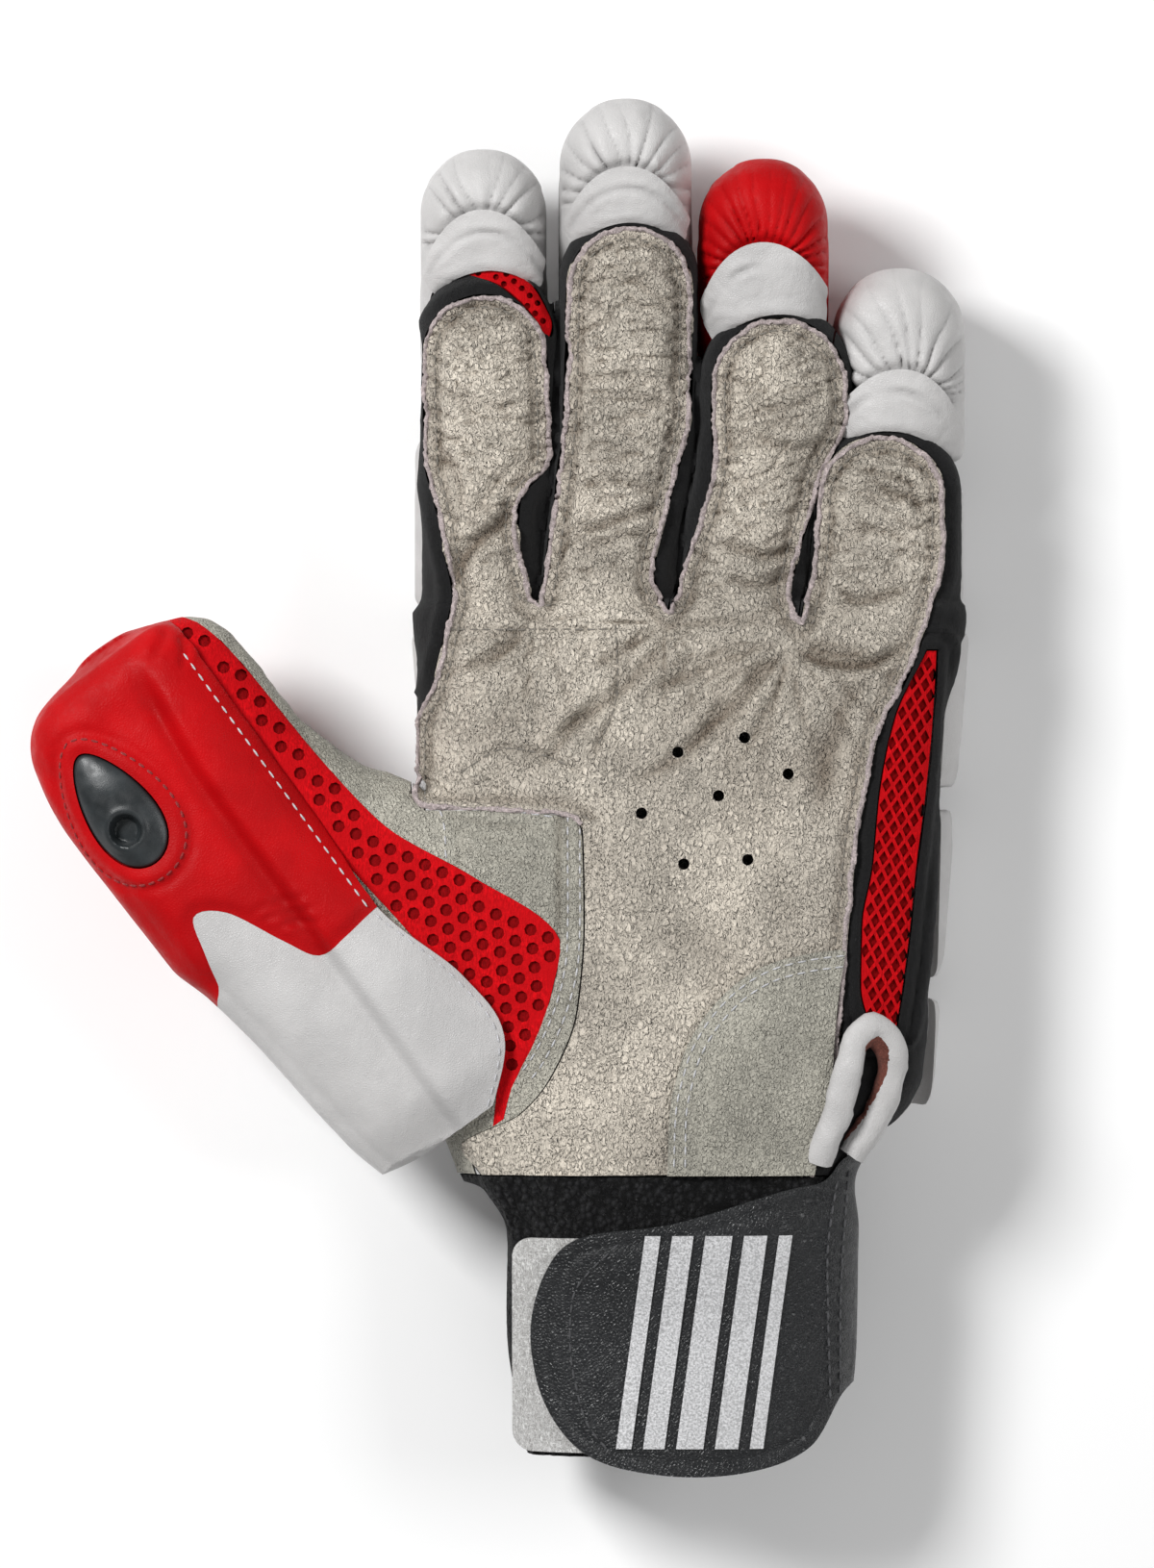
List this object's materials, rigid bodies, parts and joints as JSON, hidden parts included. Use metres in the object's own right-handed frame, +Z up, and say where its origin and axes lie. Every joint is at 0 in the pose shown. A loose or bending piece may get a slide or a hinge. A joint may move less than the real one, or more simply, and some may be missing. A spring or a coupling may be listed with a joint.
{
  "type": "cricket batting glove",
  "caption": "Left-hand cricket batting glove lying on its padded back, with a leather palm, finger and thumb padding, mesh inserts, towelling cuff and wrist strap",
  "frame": {"origin": "middle of the footprint's bounding box, on the surface that the glove lies on", "axes": "+X from the thumb to the little finger, +Y from the wrist to the fingertips, +Z up out of the palm"},
  "size_m": [0.194, 0.2846, 0.0564],
  "materials": {
    "palm_leather": "pebbled pale grey leather, matt",
    "thumb_leather": "finely pebbled pale grey leather, matt",
    "white_leather": "smooth soft white leather, low sheen",
    "red_leather": "smooth soft red leather, low sheen",
    "black_leather": "fine-grained black leather, satin",
    "black_felt": "black felt, fuzzy",
    "towelling": "black looped towelling",
    "red_mesh": "red holed mesh",
    "hook_fabric": "off-white woven cloth",
    "vent_rubber": "smooth black moulded rubber"
  },
  "bodies": {
    "root": {"palm_leather": "palm_leather", "thumb_mesh": "red_mesh", "thumb_leather": "thumb_leather", "side_band": "black_felt", "side_mesh": "red_mesh", "index_band": "black_felt", "back_panel": "white_leather", "cuff": "towelling", "index_mesh": "red_mesh", "gusset_index": "black_felt", "gusset_middle": "black_felt", "gusset_ring": "black_felt", "gusset_little": "black_felt", "heel_patch": "palm_leather", "strap": "black_leather", "strap_pad": "hook_fabric", "pull_loop": "white_leather", "wrist_roll_index": "white_leather", "wrist_roll_middle": "white_leather", "wrist_roll_ring": "white_leather", "wrist_roll_little": "white_leather", "hand_roll_index": "white_leather", "hand_roll_middle": "white_leather", "hand_roll_ring": "white_leather", "hand_roll_little": "white_leather", "knuckle_roll_index": "white_leather", "knuckle_roll_middle": "white_leather", "knuckle_roll_ring": "white_leather", "knuckle_roll_little": "white_leather", "mid_roll_index": "white_leather", "tip_roll_index": "white_leather", "tip_band_index": "white_leather", "mid_roll_middle": "white_leather", "tip_roll_middle": "white_leather", "tip_band_middle": "white_leather", "mid_roll_ring": "white_leather", "tip_roll_ring": "red_leather", "tip_band_ring": "white_leather", "mid_roll_little": "white_leather", "tip_roll_little": "white_leather", "tip_band_little": "white_leather", "thumb_guard": "red_leather", "thumb_guard_base": "white_leather", "thumb_vent": "vent_rubber"}
  },
  "joints": []
}
